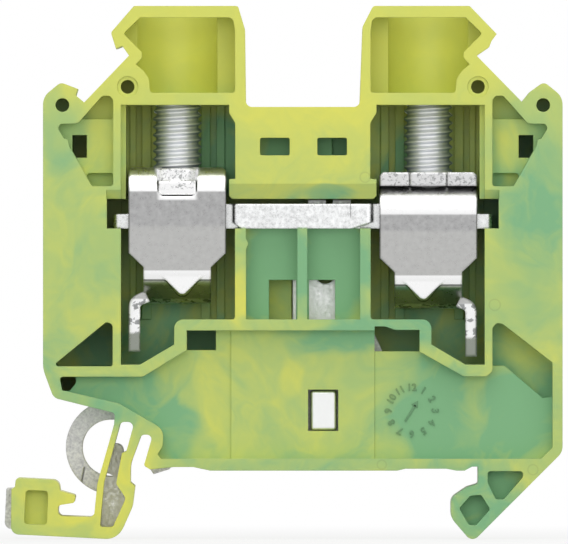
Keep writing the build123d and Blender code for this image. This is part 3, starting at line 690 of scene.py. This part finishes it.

# %% [markdown]
# The rest of a cage's looks is its edges. The strip's sheared edges glitter, a painted shadow line
# runs under the fold, and the flat faces get painted shade at their sides, where they turn away.

# %% The cages' edges
RIGHT_EDGE, TAB, SIDE, FLAKES = 1.38, (0.1, 2.2), (4.68, 4.8), (0.5, 0.62)
SHEARED, GLITTER_DARK = (0.72, 0.72, 0.72), (0.2, 0.21, 0.21)
SHADOW, SIDE_SHADE = (0.08, 0.09, 0.08), (0.1, 0.1, 0.1)
right_edges = times(tree, on_right, below(tree, depth, RIGHT_EDGE, soft=0.04))
locking_tab = times(tree, on_left, band(tree, depth, *TAB), below(tree, from_axis, NOTCH_HALF_WIDTH))
flakes = noise(tree, object_point(tree), scale=2600.0, detail=3.0, roughness=0.7, distortion=0.6)
glitter = ramp(tree, flakes, *FLAKES)
tint(tree, right_edges, SHEARED)
tint(tree, fold_shadow, SHADOW, 0.85)
tint(tree, ramp(tree, from_axis, *SIDE), SIDE_SHADE, 0.6)
tint(tree, times(tree, largest(tree, locking_tab, right_edges), glitter), GLITTER_DARK, 0.7)
print("edges: sheared, in shadow and at the sides")

# %% [markdown]
# The wire guards hang below the fold, crumpled where they were bent. Real creases would need a fine
# mesh. A coarse noise with a hard edge paints dark reflections on them, which looks much like them
# from the front, and painted shade darkens the guards' ends.

# %% The wire guards
CREASE_EDGE, END_START = (0.52, 0.6), (16.3, 16.7)
CREASE_PAINTED_REFLECTION, GUARD_END_PAINTED_SHADE = (0.12, 0.13, 0.13), (0.3, 0.32, 0.28)
facets = noise(tree, object_point(tree), scale=1300.0, detail=2.0, roughness=0.6, distortion=0.5)
# Painted dark reflections on the guards' crumpled facets.
tint(tree, times(tree, ramp(tree, facets, *CREASE_EDGE), guards), CREASE_PAINTED_REFLECTION, 0.75)
# Painted shade on the guards' ends.
tint(tree, ramp(tree, depth, *END_START), GUARD_END_PAINTED_SHADE)
print("tinted:", cage_metal.name)

# %% [markdown]
# The bar has a fine parting line near its right end. The screws are bright in the middle, and a
# painted bluish grey shade darkens them where their surface runs away from the eye. The Facing value
# of a Layer Weight node follows the eye, so it gives that from every side.

# %% The bar and the screws
PARTING_X, PARTING_Z, PARTING_SHADE = (4.7, 4.8), (25.0, 25.3), (0.15, 0.15, 0.15)
TURNED_AWAY, BLUISH_PAINTED_SHADE = (0.28, 0.85), (0.3, 0.37, 0.46)
tree = bar_metal.node_tree
x, y, z = millimetres(tree)
parting_line = times(tree, band(tree, x, *PARTING_X, soft=0.04), ramp(tree, z, *PARTING_Z))
tint(tree, parting_line, PARTING_SHADE, 0.6)
tree = screw_metal.node_tree
facing = node(tree, "ShaderNodeLayerWeight").outputs["Facing"]
# Painted shade on the sides of the screws that turn away from the eye.
tint(tree, ramp(tree, facing, *TURNED_AWAY), BLUISH_PAINTED_SHADE, blend="MULTIPLY")
print("tinted:", bar_metal.name, screw_metal.name)

# %% [markdown]
# Every solid and every new piece gets its material. The threaded screws stand for the plain ones
# and turn with them, and the dial belongs to the housing.

# %% Materials on the pieces
def paint(piece, material):
    piece.data.materials.clear()
    piece.data.materials.append(material)


paint(nodes["housing"], plastic)
paint(nodes["current_bar"], bar_metal)
paint(nodes["earth_foot"], foot_metal)
for side in ("left", "right"):
    paint(nodes["clamp_cage_" + side], cage_metal)
    paint(nodes["clamp_screw_" + side], screw_metal)
paint(date_dial, dial_plastic_painted_shade)
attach(date_dial, "block")
for side, screw in (("left", left_screw), ("right", right_screw)):
    paint(screw, screw_metal)
    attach(screw, "screw_" + side)
    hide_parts("clamp_screw_" + side)
print("painted:", len(bpy.data.materials), "materials")

# %% [markdown]
# The photo's background is plain white. A bright floor would light the block from below, so the
# floor is a light grey that glows white only for the rays of the camera and of reflections. Near
# the block it glows less, which leaves a soft shadow there.

# %% The white floor
FLOOR_SIZE, FLOOR_Y, FLOOR_GAP = 3, 0.8, 0.00005      # metres
SHADOW_ENDS, GLOW_IN_SHADOW = (0.03, 0.15), 0.84      # the glow rises between these distances
WHITE = (1, 1, 1)


def seen_rays(tree):
    path = node(tree, "ShaderNodeLightPath").outputs
    return largest(tree, path["Is Camera Ray"], path["Is Glossy Ray"], path["Is Transmission Ray"])


deselect()
bpy.ops.mesh.primitive_plane_add(size=FLOOR_SIZE, location=(0, FLOOR_Y, start_bounds[0][2] - FLOOR_GAP))
floor = bpy.context.object
floor.name = "floor"
apply_place(floor)
floor_white, tree, shader, point = new_material("floor_white")
feed(tree, shader.inputs["Base Color"], (0.7, 0.7, 0.7))
feed(tree, shader.inputs["Roughness"], 0.9)
glow = node(tree, "ShaderNodeEmission")
feed(tree, glow.inputs["Color"], WHITE)
feed(tree, glow.inputs["Strength"], 1.0)
glow_share = ramp(tree, vector(tree, "LENGTH", point), *SHADOW_ENDS, GLOW_IN_SHADOW, 1.0)
both = node(tree, "ShaderNodeMixShader")
for socket, value in zip(both.inputs, (
        times(tree, seen_rays(tree), glow_share), shader.outputs["BSDF"], glow.outputs["Emission"])):
    feed(tree, socket, value)
tree.links.new(both.outputs[0], tree.nodes["Material Output"].inputs["Surface"])
paint(floor, floor_white)
print("floor:", floor.name)

# %% [markdown]
# The room is white in the same way: full white for the camera and in reflections, so that the
# metals look bright, and much weaker as a light, so that the lamps shape the block.

# %% The white room
ROOM_LIGHT = 0.25
world = bpy.data.worlds.new("studio")
bpy.context.scene.world = world
world.use_nodes = True
tree = world.node_tree
tree.nodes.clear()


def background(strength):
    n = node(tree, "ShaderNodeBackground")
    feed(tree, n.inputs["Color"], WHITE)
    feed(tree, n.inputs["Strength"], strength)
    return n.outputs["Background"]


both = node(tree, "ShaderNodeMixShader")
for socket, value in zip(both.inputs, (seen_rays(tree), background(ROOM_LIGHT), background(1.0))):
    feed(tree, socket, value)
tree.links.new(both.outputs[0], node(tree, "ShaderNodeOutputWorld").inputs["Surface"])
print("room:", world.name)

# %% [markdown]
# Soft light, as in a product photo: a large lamp above the front, one over the top, a weaker one on
# the right, a wide one far in front, and another far behind for the closed side. The two wide ones
# are kept out of reflections, where their outlines would show.

# %% The lamps
def lamp(name, place, size, power, turn, in_metal=True):
    deselect()
    bpy.ops.object.light_add(type="AREA", location=place, rotation=tuple(radians(a) for a in turn))
    o = bpy.context.object
    o.name = name
    o.data.shape = "RECTANGLE"
    o.data.size, o.data.size_y = size
    o.data.energy = power
    o.visible_glossy = in_metal
    print("lamp:", name)


lamp("key", (-0.1, -0.42, 0.42), (0.45, 0.3), 0.6, (45, 0, -13))
lamp("fill", (0.4, -0.35, 0.12), (0.3, 0.4), 0.25, (80, 0, 48))
lamp("top", (0.0, -0.18, 0.6), (0.6, 0.3), 1.4, (17, 0, 0))
lamp("front", (0.0, -1.0, 0.12), (1.0, 0.6), 4.8, (84, 0, 0), in_metal=False)
lamp("back", (0.25, 0.9, 0.4), (0.8, 0.6), 3.2, (-66, 0, -15.5), in_metal=False)

# %% [markdown]
# The camera stands 2.5 m in front of the open side, level with the block's middle. In the photo the
# walls that run away from the eye don't show, so the camera is far away and its lens is very long.

# %% The camera
CAMERA_PLACE = (-0.00187, -2.5061, 0.01977)
SENSOR_WIDTH, LENS = 36, 1592.4          # millimetres
deselect()
bpy.ops.object.camera_add(location=CAMERA_PLACE, rotation=(pi / 2, 0, 0))
camera = bpy.context.object
camera.data.sensor_width, camera.data.lens = SENSOR_WIDTH, LENS
camera.data.clip_start, camera.data.clip_end = 0.01, 10
bpy.context.scene.camera = camera
bpy.context.scene.view_settings.view_transform = "Standard"
print("camera:", camera.name)
